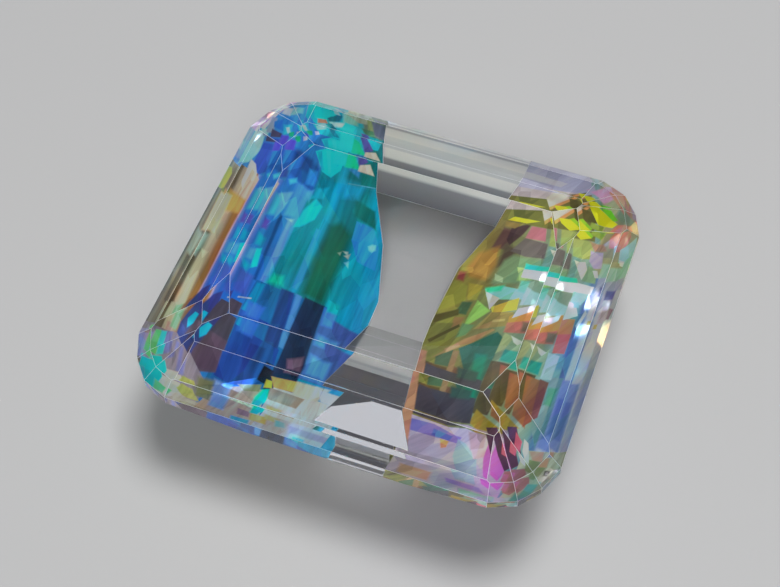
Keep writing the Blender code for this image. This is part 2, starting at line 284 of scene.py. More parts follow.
    (0.15, tint(196, 168, 150), (-12.4, -6.7), (-11.9, -6.5), (-11.8, -7.1), (-12.3, -7.4)),
    (0.15, tint(140, 195, 150), (-12.1, -5.6), (-11.6, -5.3), (-11.6, -6.9), (-12.1, -6.9)),
    # the corner at the front
    (0.05, tint(145, 134, 144), (-14.0, -7.8), (-11.4, -7.0), (-9.4, -8.4), (-9.4, -12.8),
     (-12.0, -12.8)),
    (0.15, tint(122, 124, 182), (-11.4, -7.3), (-11.15, -7.3), (-10.8, -8.9), (-11.05, -9.0)),
    (0.1, tint(212, 192, 178), (-11.6, -9.4), (-10.9, -9.0), (-10.1, -9.9), (-10.3, -11.6),
     (-11.5, -11.6)),
    (0.1, tint(160, 155, 222), (-14.0, -8.4), (-13.0, -8.0), (-12.9, -9.8), (-13.5, -10.4)),
    (0.1, tint(92, 250, 125), (-12.9, -7.7), (-12.5, -7.5), (-12.3, -9.1), (-12.9, -9.2)),
    (0.12, tint(40, 225, 240), (-12.5, -7.5), (-12.1, -7.3), (-11.9, -8.7), (-12.3, -9.1)),
    (0.12, tint(118, 120, 172), (-12.1, -7.3), (-11.7, -7.1), (-11.5, -8.2), (-11.9, -8.7)),
    (0.08, tint(0, 238, 208), (-13.0, -9.7), (-11.9, -8.9), (-11.5, -9.5), (-11.8, -12.0),
     (-13.0, -10.8)),
    (0.1, tint(60, 205, 225), (-13.3, -10.8), (-12.5, -10.2), (-12.2, -11.0), (-12.6, -11.6)),
    (0.15, tint(85, 218, 112), (-11.9, -10.2), (-11.0, -10.2), (-11.0, -11.2), (-11.7, -11.3)),
    (0.08, tint(178, 182, 98), (-10.8, -8.9), (-10.1, -8.7), (-9.2, -9.9), (-10.3, -10.0), (-10.9, -9.6)),
    (0.3, tint(188, 185, 165), (-10.8, -10.1), (-8.0, -10.0), (-8.0, -11.2), (-10.8, -11.4)),
    # the front edge: its cream and white patches are painted reflection, standing in for the bright band
    # that the clear front steps reflect
    (0.05, tint(192, 172, 140), (-9.2, -7.7), (-7.2, -7.3), (-5.9, -6.5), (-4.6, -12.8), (-9.2, -12.8)),
    (0.05, tint(205, 192, 182), (-5.4, -6.4), (-0.5, -6.4), (-0.5, -12.8), (-5.4, -12.8)),
    (0.1, tint(150, 145, 98), (-7.6, -7.3), (-6.2, -6.6), (-6.1, -7.3), (-7.0, -7.7)),
    (0.1, tint(158, 132, 112), (-5.6, -6.6), (-3.2, -6.6), (-3.4, -7.7), (-5.4, -7.7)),
    (0.1, tint(250, 172, 84), (-5.9, -5.6), (-4.0, -5.3), (-3.9, -6.3), (-5.4, -6.5)),
    (0.2, tint(208, 196, 172), (-4.2, -5.3), (-2.0, -5.1), (-2.4, -6.5), (-4.1, -6.5)),
    (0.15, tint(200, 200, 220), (-2.6, -5.4), (-0.5, -5.4), (-0.5, -6.4), (-2.2, -6.4)),
    (0.1, tint(232, 215, 60), (-6.1, -6.0), (-5.7, -6.0), (-5.5, -6.6), (-6.0, -6.8)),
    (0.15, tint(0, 228, 182), (-6.0, -7.0), (-5.6, -6.8), (-5.4, -7.8), (-5.6, -8.8), (-6.1, -8.9),
     (-6.2, -7.9)),
    (0.15, tint(228, 172, 84), (-6.0, -8.9), (-4.9, -8.7), (-4.7, -9.8), (-5.8, -9.9)),
    (0.25, tint(225, 185, 125), (-5.2, -8.3), (-4.2, -8.3), (-4.2, -9.0), (-5.0, -9.0)),
    (0.2, tint(130, 222, 218), (-4.4, -8.6), (-3.7, -8.6), (-3.5, -9.4), (-4.1, -9.6)),
    (0.3, tint(168, 150, 165), (-3.4, -8.8), (-0.5, -8.8), (-0.5, -9.8), (-3.0, -9.9)),
    (0.25, tint(125, 165, 220), (-9.0, -7.8), (-7.9, -7.6), (-7.6, -9.9), (-8.6, -9.9)),
    (0.25, tint(118, 122, 85), (-10.0, -8.3), (-9.0, -7.9), (-8.8, -9.2), (-9.8, -9.2)),
    (0.15, tint(150, 120, 122), (-6.9, -8.8), (-6.1, -8.8), (-5.9, -9.6), (-6.7, -9.7)),
    (0.15, tint(60, 158, 248), (-6.9, -10.2), (-5.7, -10.0), (-5.6, -10.8), (-6.8, -10.8)),
    (0.12, tint(228, 205, 245), (-3.4, -10.2), (-2.7, -10.2), (-2.6, -11.0), (-3.4, -11.0)),
    (0.12, tint(90, 180, 250), (-2.7, -10.2), (-1.9, -10.2), (-1.8, -11.2), (-2.6, -11.2)),
    (0.2, tint(115, 85, 110), (-5.5, -4.3), (-4.6, -3.6), (-4.4, -4.8), (-5.3, -4.9)),
    (0.4, tint(75, 140, 225), (-4.2, -3.2), (-2.8, -3.3), (-2.8, -4.8), (-4.1, -4.8)),
)
GOLD_PATCHES = (
    # the middle, seen through the table
    (0.15, tint(104, 78, 68), (5.0, 8.3), (5.8, 8.3), (5.6, 6.9), (4.6, 6.8)),
    (0.3, tint(176, 138, 62), (3.9, 6.2), (5.1, 7.0), (5.3, 5.8), (4.9, 4.6), (3.8, 4.5), (3.4, 5.0)),
    (0.15, tint(190, 152, 68), (4.2, 5.8), (5.0, 5.4), (4.8, 4.9), (4.0, 5.0)),
    (0.2, tint(160, 88, 72), (3.0, 4.7), (3.5, 4.8), (3.5, 4.1), (3.0, 4.1)),
    (0.12, tint(168, 158, 62), (3.9, 4.1), (4.9, 4.2), (4.8, 3.0), (4.2, 2.9)),
    (0.15, tint(150, 154, 66), (3.0, 4.0), (3.9, 3.9), (4.1, 2.8), (2.6, 1.6), (2.3, 2.0)),
    (0.1, tint(76, 55, 55), (5.5, 8.4), (6.8, 9.0), (6.4, 8.2), (5.7, 7.2), (5.4, 7.6)),
    (0.3, tint(92, 78, 62), (5.4, 7.3), (6.3, 7.2), (6.2, 5.9), (5.4, 5.7)),
    (0.15, tint(78, 106, 70), (3.9, 2.7), (4.6, 2.8), (4.5, 1.7), (3.7, 1.7)),
    (0.12, tint(90, 84, 44), (2.4, 1.3), (3.9, 2.1), (4.0, 1.6), (2.5, 0.6)),
    (0.15, tint(160, 115, 76), (3.8, 1.4), (4.5, 1.5), (4.3, 0.5), (3.8, 0.5)),
    (0.12, tint(122, 118, 62), (2.1, 0.6), (3.9, 0.9), (3.7, -0.5), (2.5, -1.2)),
    (0.08, tint(88, 78, 44), (2.6, -0.7), (4.3, 0.9), (4.4, 0.7), (2.8, -0.9)),
    (0.1, tint(158, 195, 92), (4.9, 3.0), (6.0, 2.3), (5.2, 1.3), (4.6, 0.6), (4.7, 1.8)),
    (0.15, tint(112, 142, 92), (4.5, 1.0), (5.3, 1.0), (5.0, 0.1), (4.4, -0.2)),
    (0.25, tint(126, 156, 112), (6.2, 6.7), (8.4, 6.8), (8.0, 4.9), (5.3, 4.5), (5.7, 6.2)),
    (0.06, tint(188, 218, 128), (6.7, 6.0), (7.3, 6.1), (6.9, 5.6)),
    (0.2, tint(172, 208, 118), (7.0, 5.7), (8.0, 6.1), (7.9, 5.0), (7.0, 5.0)),
    (0.06, tint(218, 250, 130), (7.6, 6.0), (8.0, 6.1), (7.9, 5.4)),
    (0.08, tint(168, 196, 150), (5.4, 5.2), (6.0, 5.1), (6.1, 4.7), (5.5, 4.8)),
    (0.08, tint(108, 100, 94), (6.6, 8.0), (8.2, 8.0), (8.3, 7.0), (7.0, 6.8), (5.9, 6.9)),
    (0.08, tint(180, 112, 122), (6.8, 8.8), (7.8, 8.9), (8.0, 8.1), (6.6, 8.0)),
    (0.2, tint(126, 172, 155), (8.3, 8.4), (9.0, 7.8), (9.0, 6.2), (8.3, 6.2)),
    # painted highlights: the mint and white bars of the next three patches stand in for bright glints on
    # the coat
    (0.1, tint(140, 238, 195), (5.1, 4.0), (6.3, 4.4), (7.9, 4.2), (7.8, 3.5), (6.4, 3.3), (5.4, 3.4)),
    (0.2, tint(58, 212, 142), (5.1, 4.1), (6.3, 4.5), (6.2, 4.0), (5.3, 3.7)),
    (0.06, tint(226, 214, 198), (5.2, 3.8), (6.3, 3.4), (5.9, 2.4)),
    (0.06, tint(222, 196, 72), (5.95, 2.6), (7.6, 3.6), (7.7, 2.6), (6.2, 2.1)),
    (0.1, tint(162, 138, 80), (6.1, 2.2), (7.6, 2.4), (7.6, 1.2), (6.3, 0.9), (5.3, 0.6)),
    (0.06, tint(196, 172, 104), (6.4, 1.6), (7.2, 1.8), (7.2, 1.6), (6.4, 1.4)),
    (0.1, tint(56, 108, 88), (4.9, -1.0), (7.0, 0.7), (7.5, 0.3), (7.3, -2.5), (7.2, -3.8), (6.3, -3.6)),
    (0.25, tint(32, 138, 114), (6.1, -1.2), (6.9, -1.2), (7.1, -3.2), (6.4, -3.2)),
    (0.12, tint(82, 112, 80), (3.6, -1.9), (4.6, -0.9), (4.7, -2.5), (3.7, -2.5)),
    (0.08, tint(176, 142, 90), (2.9, -2.5), (5.0, -0.2), (6.6, 0.9), (7.1, 0.7), (5.6, -0.4),
     (3.2, -2.8)),
    (0.15, tint(205, 152, 116), (4.0, -1.2), (4.7, -0.6), (4.9, -0.8), (4.2, -1.4)),
    (0.1, tint(104, 80, 44), (3.0, -2.4), (4.6, -2.6), (5.3, -4.2), (3.0, -4.1)),
    (0.12, tint(122, 88, 62), (4.9, -2.4), (6.1, -2.6), (6.2, -3.5), (5.0, -3.6)),
    (0.1, tint(156, 122, 88), (4.6, -1.2), (5.0, -1.2), (5.1, -3.6), (4.7, -3.6)),
    (0.1, tint(90, 78, 48), (7.3, -1.6), (8.8, -1.6), (8.3, -4.4), (7.2, -4.3)),
    # the strips along the end
    (0.3, tint(162, 162, 125), (10.2, 12.8), (10.2, 6.6), (14.0, 6.6), (14.0, 12.8)),
    (0.12, tint(95, 128, 178), (10.5, 2.0), (11.1, 2.4), (11.2, -2.0), (10.6, -0.2)),
    (0.15, tint(105, 170, 172), (10.1, -0.2), (10.6, -0.2), (10.7, -2.0), (10.1, -2.0)),
    (0.1, tint(118, 162, 168), (10.0, -1.8), (11.1, -1.8), (11.1, -6.9), (10.3, -5.4)),
    (0.2, tint(80, 162, 132), (10.1, -2.6), (10.9, -2.6), (10.8, -4.0), (10.2, -3.9)),
    (0.2, tint(135, 150, 208), (11.1, -2.0), (12.1, -2.0), (12.3, -7.3), (11.2, -6.8)),
    (0.2, tint(108, 126, 196), (11.3, -3.4), (11.9, -3.4), (12.1, -6.4), (11.4, -6.2)),
    (0.15, tint(182, 190, 222), (12.2, 2.0), (14.0, 2.0), (14.0, -7.4), (12.4, -7.2)),
    (0.3, tint(158, 172, 222), (12.6, -1.0), (13.4, -1.0), (13.3, -4.6), (12.6, -4.6)),
    (0.1, tint(140, 168, 130), (7.6, 0.3), (9.1, 0.4), (9.1, -1.8), (7.9, -1.6)),
    (0.1, tint(178, 208, 196), (9.1, 0.1), (10.1, -0.1), (10.1, -2.0), (9.2, -2.0)),
    (0.1, tint(158, 98, 62), (8.0, -1.8), (9.3, -2.1), (9.8, -5.4), (8.5, -4.4)),
    (0.1, tint(138, 78, 68), (9.2, -2.0), (10.0, -2.2), (10.1, -4.9), (9.6, -5.3)),
    (0.1, tint(160, 134, 46), (7.5, -4.0), (9.4, -5.4), (8.2, -5.7), (7.3, -5.0)),
    (0.15, tint(45, 152, 132), (7.9, -0.6), (8.9, -0.7), (8.9, -1.7), (7.8, -1.5)),
    (0.08, tint(216, 152, 74), (7.4, 2.0), (9.2, 3.4), (9.3, 1.6), (7.5, 0.9)),
    (0.12, tint(200, 120, 100), (7.4, 1.5), (9.2, 1.9), (9.2, 0.8), (7.4, 0.7)),
    (0.08, tint(235, 140, 96), (9.2, 2.9), (10.3, 2.9), (10.4, 1.6), (9.3, 1.5)),
    (0.08, tint(240, 112, 116), (9.3, 1.6), (10.4, 1.7), (10.4, 0.1), (9.4, 0.1)),
    (0.2, tint(126, 108, 80), (8.4, 1.7), (9.2, 1.7), (9.2, 0.9), (8.5, 0.9)),
    (0.1, tint(172, 182, 126), (7.5, 0.7), (8.2, 0.4), (7.9, -0.6), (7.4, -1.0)),
    (0.08, tint(236, 232, 210), (8.0, 0.5), (8.9, 0.1), (8.6, -0.2), (8.3, 0.0)),
    (0.1, tint(160, 205, 200), (7.8, 4.8), (9.4, 4.8), (9.2, 3.2), (7.8, 3.0)),
    (0.15, tint(132, 158, 132), (7.7, 5.1), (9.4, 5.0), (9.3, 3.9), (8.4, 4.2), (7.7, 4.6)),
    (0.15, tint(112, 205, 162), (7.3, 5.0), (7.9, 5.0), (7.8, 4.0), (7.3, 4.1)),
    # painted highlights: the white and mint bars of the next six patches stand in for bright glints on
    # the coat
    (0.06, tint(226, 222, 232), (7.6, 1.9), (8.9, 2.7), (9.0, 3.2), (7.8, 2.7)),
    (0.1, tint(250, 255, 252), (7.2, 6.0), (9.4, 5.9), (10.9, 5.6), (10.8, 4.9), (9.0, 5.1), (7.2, 5.2)),
    (0.12, tint(52, 220, 172), (7.2, 6.4), (9.2, 6.3), (9.4, 5.9), (7.2, 5.95)),
    (0.1, tint(150, 245, 205), (9.3, 5.2), (10.8, 5.0), (10.3, 4.1), (9.4, 4.2)),
    (0.06, tint(240, 255, 252), (9.3, 4.3), (9.9, 4.1), (10.4, 3.2), (9.3, 2.8)),
    (0.12, tint(130, 228, 228), (9.6, 4.3), (10.1, 4.3), (10.2, 3.9), (9.8, 3.8)),
    (0.08, tint(196, 230, 238), (10.9, 3.7), (11.1, 3.4), (10.7, 2.1), (10.5, 2.4)),
    (0.06, tint(242, 246, 208), (8.5, 7.7), (9.4, 7.7), (9.9, 6.9), (9.6, 6.2)),
    (0.1, tint(170, 184, 102), (8.1, 9.1), (9.6, 9.1), (10.0, 8.0), (8.3, 7.9)),
    (0.12, tint(132, 170, 128), (9.8, 7.4), (10.7, 7.0), (10.9, 5.9), (9.7, 6.1)),
    (0.1, tint(184, 168, 202), (9.6, 8.6), (10.7, 8.5), (11.0, 7.2), (10.3, 7.2), (9.7, 7.8)),
    (0.05, tint(236, 250, 225), (10.3, 7.0), (10.7, 7.0), (11.0, 6.4), (10.7, 6.4)),
    (0.2, tint(172, 178, 205), (11.1, 6.5), (13.3, 6.6), (13.3, 5.4), (11.1, 5.5)),
    (0.15, tint(112, 112, 178), (11.5, 5.6), (12.6, 5.5), (12.5, 4.8), (11.5, 4.8)),
    (0.12, tint(198, 210, 240), (11.5, 4.8), (12.7, 4.6), (12.6, 4.2), (11.6, 4.3)),
    (0.2, tint(192, 172, 172), (11.6, 4.0), (12.6, 3.9), (12.5, 2.8), (11.6, 2.8)),
    (0.15, tint(156, 112, 138), (12.5, 4.1), (13.1, 3.8), (12.9, 3.0), (12.5, 3.1)),
    (0.1, tint(232, 176, 98), (11.4, 2.8), (11.8, 2.8), (11.8, 2.4), (11.4, 2.4)),
    (0.12, tint(242, 242, 236), (12.3, 3.0), (12.7, 2.8), (12.7, 2.1), (12.3, 2.2)),
    # the corner at the back
    (0.08, tint(118, 118, 54), (4.6, 8.4), (8.0, 8.9), (9.8, 9.0), (9.6, 12.8), (5.4, 12.8)),
    (0.06, tint(205, 190, 190), (4.4, 9.35), (7.4, 9.95), (9.2, 10.9), (7.6, 10.8), (4.4, 10.6)),
    (0.06, tint(214, 200, 180), (7.1, 10.0), (7.5, 9.3), (8.8, 10.5), (7.6, 10.8)),
    (0.06, tint(178, 178, 200), (5.0, 10.3), (7.6, 10.6), (9.2, 10.9), (10.0, 11.4), (9.5, 12.8),
     (5.0, 12.8)),
    (0.1, tint(212, 206, 206), (5.0, 11.0), (7.8, 11.0), (8.2, 11.5), (5.0, 11.6)),
    (0.05, tint(245, 165, 90), (7.5, 9.3), (9.2, 10.95), (9.3, 10.8), (7.6, 9.1)),
    (0.05, tint(240, 228, 48), (5.1, 8.8), (5.5, 9.1), (7.2, 9.2), (6.4, 8.9)),
    (0.1, tint(158, 140, 70), (5.0, 8.7), (6.2, 8.8), (5.7, 8.4), (5.0, 8.4)),
    (0.1, tint(92, 86, 34), (8.6, 10.5), (9.4, 10.5), (10.0, 9.9), (8.9, 9.7)),
    (0.05, tint(238, 242, 40), (7.8, 9.55), (8.6, 9.7), (9.5, 9.3), (8.7, 9.0), (8.0, 9.3)),
    (0.05, tint(150, 210, 40), (8.5, 9.7), (9.5, 9.3), (9.6, 9.45), (8.8, 9.85)),
    (0.05, tint(248, 255, 10), (9.1, 10.9), (9.8, 11.0), (11.6, 10.15), (11.2, 9.85), (10.0, 9.85)),
    (0.06, tint(110, 195, 30), (10.0, 10.95), (10.9, 11.0), (11.6, 10.4), (11.2, 10.3)),
    (0.1, tint(160, 180, 70), (9.5, 9.85), (10.6, 9.8), (10.3, 9.4), (9.4, 9.5)),
    (0.15, tint(225, 160, 195), (9.6, 11.4), (10.9, 12.4), (11.1, 11.6), (10.4, 11.1)),
    (0.12, tint(255, 132, 112), (10.9, 11.4), (11.0, 12.7), (12.6, 12.4), (13.4, 11.0), (13.2, 9.9),
     (12.0, 10.9)),
    (0.15, tint(245, 165, 82), (11.8, 12.3), (12.6, 11.9), (12.1, 11.2)),
    (0.15, tint(228, 152, 168), (12.5, 11.6), (13.2, 11.2), (13.1, 10.6), (12.6, 10.7)),
    (0.06, tint(245, 140, 118), (11.0, 9.5), (11.6, 10.1), (12.4, 10.2), (12.6, 9.7), (11.9, 8.8),
     (11.1, 8.8)),
    (0.1, tint(182, 146, 112), (9.4, 9.1), (10.6, 9.1), (11.0, 8.6), (9.9, 8.6)),
    (0.1, tint(168, 248, 218), (11.6, 8.9), (13.4, 9.5), (13.4, 7.4), (11.7, 8.0)),
    (0.05, tint(220, 255, 240), (11.7, 8.2), (12.8, 7.9), (13.0, 7.4), (12.0, 7.7)),
    (0.2, tint(160, 206, 182), (11.0, 7.6), (12.4, 7.5), (12.3, 6.4), (11.0, 6.4)),
    (0.1, tint(170, 228, 206), (12.4, 8.2), (13.4, 7.9), (13.3, 6.5), (12.3, 6.5)),
    # the front edge: its lavender and white patches are partly the coat's colour and partly painted
    # reflection of the bright band along the front
    (0.06, tint(188, 178, 208), (3.0, -4.9), (7.3, -5.2), (10.0, -6.4), (10.6, -12.8), (3.5, -12.8)),
    (0.08, tint(74, 70, 80), (3.2, -2.6), (7.2, -3.2), (7.4, -5.1), (3.4, -4.8)),
    (0.2, tint(58, 92, 84), (5.3, -2.4), (6.8, -2.6), (6.8, -3.3), (5.5, -3.2)),
    (0.08, tint(132, 122, 208), (3.1, -5.3), (5.2, -5.2), (7.2, -5.8), (7.0, -6.3), (3.3, -6.3)),
    (0.15, tint(84, 122, 208), (5.3, -5.6), (6.6, -5.8), (6.5, -6.3), (5.3, -6.2)),
    (0.12, tint(198, 142, 112), (2.2, -1.6), (2.9, -1.6), (4.2, -7.8), (3.5, -7.6)),
    (0.08, tint(255, 160, 108), (5.9, -6.3), (6.5, -6.3), (6.5, -6.9), (6.2, -7.1)),
    (0.1, tint(158, 186, 210), (7.0, -5.9), (7.6, -6.2), (8.6, -7.2), (9.1, -9.0), (7.8, -9.0),
     (7.1, -7.5)),
    (0.12, tint(178, 150, 165), (7.5, -5.4), (8.7, -5.6), (8.8, -6.5), (8.0, -6.6)),
    (0.1, tint(235, 168, 184), (8.1, -6.6), (9.0, -6.6), (9.2, -7.1), (8.4, -7.2)),
    (0.1, tint(150, 218, 230), (10.0, -10.4), (11.0, -10.1), (11.4, -11.6), (10.2, -12.0)),
    (0.08, tint(215, 108, 196), (9.0, -5.8), (9.6, -6.6), (10.2, -8.2), (10.0, -9.1), (9.4, -8.6),
     (9.0, -7.2)),
    (0.05, tint(82, 50, 80), (8.5, -5.3), (9.2, -5.3), (10.6, -7.9), (10.2, -8.2), (9.4, -7.0)),
    (0.05, tint(240, 100, 122), (9.3, -5.7), (10.0, -6.4), (10.1, -7.2), (9.6, -6.9)),
    (0.15, tint(166, 138, 218), (7.2, -9.2), (9.4, -9.3), (9.9, -10.0), (7.4, -9.8)),
    (0.25, tint(205, 160, 140), (4.2, -9.0), (6.3, -9.0), (6.3, -10.4), (4.3, -10.4)),
    (0.15, tint(156, 208, 178), (8.3, -10.2), (10.2, -10.2), (10.2, -11.3), (8.5, -11.2)),
    (0.06, tint(188, 194, 164), (10.6, -7.0), (14.0, -7.4), (14.0, -9.6), (12.4, -12.4), (10.4, -12.4)),
    (0.04, tint(252, 238, 228), (10.1, -6.2), (10.5, -6.5), (11.1, -8.0), (10.7, -7.7), (10.3, -7.1)),
    (0.1, tint(230, 166, 138), (10.8, -7.1), (11.9, -7.2), (12.0, -7.9), (11.3, -7.8)),
    (0.08, tint(184, 118, 120), (10.2, -8.2), (11.2, -8.2), (11.5, -9.0), (11.0, -9.9), (10.4, -9.4)),
    (0.08, tint(150, 160, 108), (11.0, -7.7), (11.9, -7.9), (11.7, -8.7), (11.2, -8.4)),
    (0.06, tint(238, 122, 155), (10.2, -8.4), (10.6, -8.5), (10.6, -9.4), (10.2, -9.0)),
    (0.12, tint(92, 94, 78), (12.0, -8.2), (12.6, -8.3), (12.5, -8.8), (12.1, -8.7)),
    (0.15, tint(112, 182, 168), (11.4, -9.0), (12.3, -9.3), (12.0, -11.2), (11.2, -11.0)),
    (0.1, tint(190, 215, 250), (10.2, -10.3), (11.2, -10.2), (11.1, -11.2), (10.4, -11.4)),
)


# --- Shader nodes --------------------------------------------------------------------------------
def feed(tree, value, socket):
    """Give a socket its value: another node's output, a number or a tuple."""
    if isinstance(value, bpy.types.NodeSocket):
        tree.links.new(value, socket)
    else:
        socket.default_value = value


def math_node(tree, operation, first, second):
    node = tree.nodes.new("ShaderNodeMath")
    node.operation = operation
    feed(tree, first, node.inputs[0])
    feed(tree, second, node.inputs[1])
    return node.outputs[0]


def vector_node(tree, operation, *values):
    node = tree.nodes.new("ShaderNodeVectorMath")
    node.operation = operation
    for value, socket in zip(values, node.inputs):
        feed(tree, value, socket)
    return node.outputs["Value" if operation == "DOT_PRODUCT" else "Vector"]


def remap(tree, value, old, new):
    """Move a value from one range to another, each given as (low, high)."""
    node = tree.nodes.new("ShaderNodeMapRange")
    for name, limit in zip(("From Min", "From Max", "To Min", "To Max"), old + new):
        node.inputs[name].default_value = limit
    feed(tree, value, node.inputs["Value"])
    return node.outputs[0]


def turned(tree, place, degrees):
    """A place turned about the stone's upright axis."""
    node = tree.nodes.new("ShaderNodeVectorRotate")
    node.rotation_type = "Z_AXIS"
    node.inputs["Angle"].default_value = math.radians(degrees)
    feed(tree, place, node.inputs["Vector"])
    return node.outputs[0]


def object_place(tree):
    return tree.nodes.new("ShaderNodeTexCoord").outputs["Object"]


def axis_of(tree, place, axis):
    """One of the three numbers of a place: axis 0 is x and 1 is y."""
    split = tree.nodes.new("ShaderNodeSeparateXYZ")
    feed(tree, place, split.inputs[0])
    return split.outputs[axis]


def colour_ramp(tree, value, stops):
    """Colour read from stops of (value, colour), blended between them."""
    low, high = stops[0][0], stops[-1][0]
    ramp = tree.nodes.new("ShaderNodeValToRGB")
    elements = ramp.color_ramp.elements
    while len(elements) > 1:
        elements.remove(elements[0])
    elements[0].position = 0.0
    elements[0].color = stops[0][1]
    for at, colour in stops[1:]:
        elements.new((at - low) / (high - low)).color = colour
    feed(tree, remap(tree, value, (low, high), WHOLE), ramp.inputs[0])
    return ramp.outputs[0]


# --- Patches -------------------------------------------------------------------------------------
def mix_colours(tree, share, under, over):
    node = tree.nodes.new("ShaderNodeMix")
    node.data_type = "RGBA"
    # a Mix node has sockets for numbers, vectors and colours: these are the ones for colours
    feed(tree, share, node.inputs[0])
    feed(tree, under, node.inputs[6])
    feed(tree, over, node.inputs[7])
    return node.outputs[2]


def patch_group(count):
    """A node group that lays a flat-sided patch of colour over another, with a Side for each edge."""
    group = bpy.data.node_groups.new("patch", "ShaderNodeTree")
    inputs = {"Place": "Vector", "Under": "Color", "Over": "Color", "Sharpness": "Float"}
    inputs.update({f"Side {number}": "Vector" for number in range(count)})
    for name, kind in inputs.items():
        group.interface.new_socket(name, in_out="INPUT", socket_type="NodeSocket" + kind)
    group.interface.new_socket("Color", in_out="OUTPUT", socket_type="NodeSocketColor")
    start = group.nodes.new("NodeGroupInput").outputs
    inside = None
    for number in range(count):
        depth = vector_node(group, "DOT_PRODUCT", start["Place"], start[f"Side {number}"])
        inside = depth if inside is None else math_node(group, "MINIMUM", inside, depth)
    # the patch covers half on its edge, and all a little way inside it
    share = math_node(group, "MULTIPLY", inside, start["Sharpness"])
    share = math_node(group, "ADD", share, 0.5)
    share.node.use_clamp = True
    finish = group.nodes.new("NodeGroupOutput")
    feed(group, mix_colours(group, share, start["Under"], start["Over"]), finish.inputs[0])
    return group


PATCH_GROUPS = {count: patch_group(count) for count in (3, 4, 5, 6)}


def side_of(start, end, middle):
    """Line through two corners as (a, b, c), where ax + by + c is the depth inside it in mm."""
    (x0, y0), (x1, y1) = start, end
    a, b = y0 - y1, x1 - x0
    length = math.hypot(a, b)
    a, b = a / length, b / length
    c = -(a * x0 + b * y0)
    if a * middle[0] + b * middle[1] + c < 0:
        a, b, c = -a, -b, -c
    return (a, b, c)


def lay_patches(tree, place, colour, patches):
    """Lay the patches over a colour one after the other, so that a later one is on top."""
    for softness, over, *corners in patches:
        patch = tree.nodes.new("ShaderNodeGroup")
        patch.node_tree = PATCH_GROUPS[len(corners)]
        feed(tree, place, patch.inputs["Place"])
        feed(tree, colour, patch.inputs["Under"])
        feed(tree, over, patch.inputs["Over"])
        feed(tree, 1 / softness, patch.inputs["Sharpness"])
        middle = [sum(c) / len(corners) for c in zip(*corners)]
        for number, corner in enumerate(corners):
            after = corners[(number + 1) % len(corners)]
            feed(tree, side_of(corner, after, middle), patch.inputs[f"Side {number}"])
        colour = patch.outputs[0]
    return colour


# --- The stone's materials -----------------------------------------------------------------------
def principled(name, **sockets):
    material = bpy.data.materials.new(name)
    material.use_nodes = True
    shader = material.node_tree.nodes["Principled BSDF"]
    for key, value in sockets.items():
        shader.inputs[key.replace("_", " ")].default_value = value
    return material


def paint(material, colour):
    tree = material.node_tree
    feed(tree, colour, tree.nodes["Principled BSDF"].inputs["Base Color"])


def streak_noise(tree, place, turn):
    """Soft streaks that run from front to back before they are turned."""
    noise = tree.nodes.new("ShaderNodeTexNoise")
    noise.inputs["Scale"].default_value = 1.0
    noise.inputs["Detail"].default_value = 2.0
    stretched = vector_node(tree, "MULTIPLY", turned(tree, place, turn), STREAK_STRETCH)
    feed(tree, stretched, noise.inputs["Vector"])
    return noise.outputs[0]


def cell_numbers(tree, place, turn):
    """Angular cells, each with two random numbers of its own."""
    cells = tree.nodes.new("ShaderNodeTexVoronoi")
    cells.inputs["Scale"].default_value = 1.0
    stretched = vector_node(tree, "MULTIPLY", turned(tree, place, turn), CELL_STRETCH)
    feed(tree, stretched, cells.inputs["Vector"])
    split = tree.nodes.new("ShaderNodeSeparateColor")
    feed(tree, cells.outputs["Color"], split.inputs[0])
    return split.outputs[0], split.outputs[1]


def coat(name, stops, patches, gain, cell_turn, cell_contrast, streak_turn, streak_contrast, hue_spread):
    """Iridescent coat with painted light: bands along the stone, patches over them holding painted
    reflections and highlights, then cells and streaks.
    """
    material = principled(name, Metallic=COAT_METAL, Roughness=COAT_ROUGHNESS, IOR=QUARTZ_IOR)
    tree = material.node_tree
    # x and y in mm, and a 1 that the patches' sides multiply by their third number
    place = vector_node(
        tree, "MULTIPLY_ADD", object_place(tree), (1 / MM, 1 / MM, 0.0), (0.0, 0.0, 1.0)
    )
    streaks = streak_noise(tree, place, streak_turn)
    strength_number, hue_number = cell_numbers(tree, place, cell_turn)

    waver = remap(tree, streaks, WHOLE, (-BAND_WAVER, BAND_WAVER))
    along = math_node(tree, "ADD", axis_of(tree, place, 0), waver)
    colour = lay_patches(tree, place, colour_ramp(tree, along, stops), patches)

    cell_gain = remap(tree, strength_number, WHOLE, (1.0 - cell_contrast, 1.0 + cell_contrast))
    streak_gain = remap(tree, streaks, STREAK_RANGE, (gain - streak_contrast, gain + streak_contrast))
    hue = remap(tree, hue_number, WHOLE, (NO_HUE_TURN - hue_spread, NO_HUE_TURN + hue_spread))
    shade = tree.nodes.new("ShaderNodeHueSaturation")
    feed(tree, colour, shade.inputs["Color"])
    feed(tree, hue, shade.inputs["Hue"])
    feed(tree, math_node(tree, "MULTIPLY", cell_gain, streak_gain), shade.inputs["Value"])
    paint(material, vector_node(tree, "MINIMUM", shade.outputs[0], (BRIGHTEST,) * 3))
    return material


def painted_reflection_coat():
    """Painted reflection: bands of white and grey from the back edge inwards, standing in for the
    mirror-like strips of these steps.
    """
    material = principled("painted_reflection_coat", Metallic=PAINTED_REFLECTION_METAL, Roughness=PAINTED_REFLECTION_ROUGHNESS, IOR=QUARTZ_IOR)
    tree = material.node_tree
    across = math_node(tree, "MULTIPLY", axis_of(tree, object_place(tree), 1), 1 / MM)
    paint(material, colour_ramp(tree, across, PAINTED_REFLECTION_STOPS))
    return material


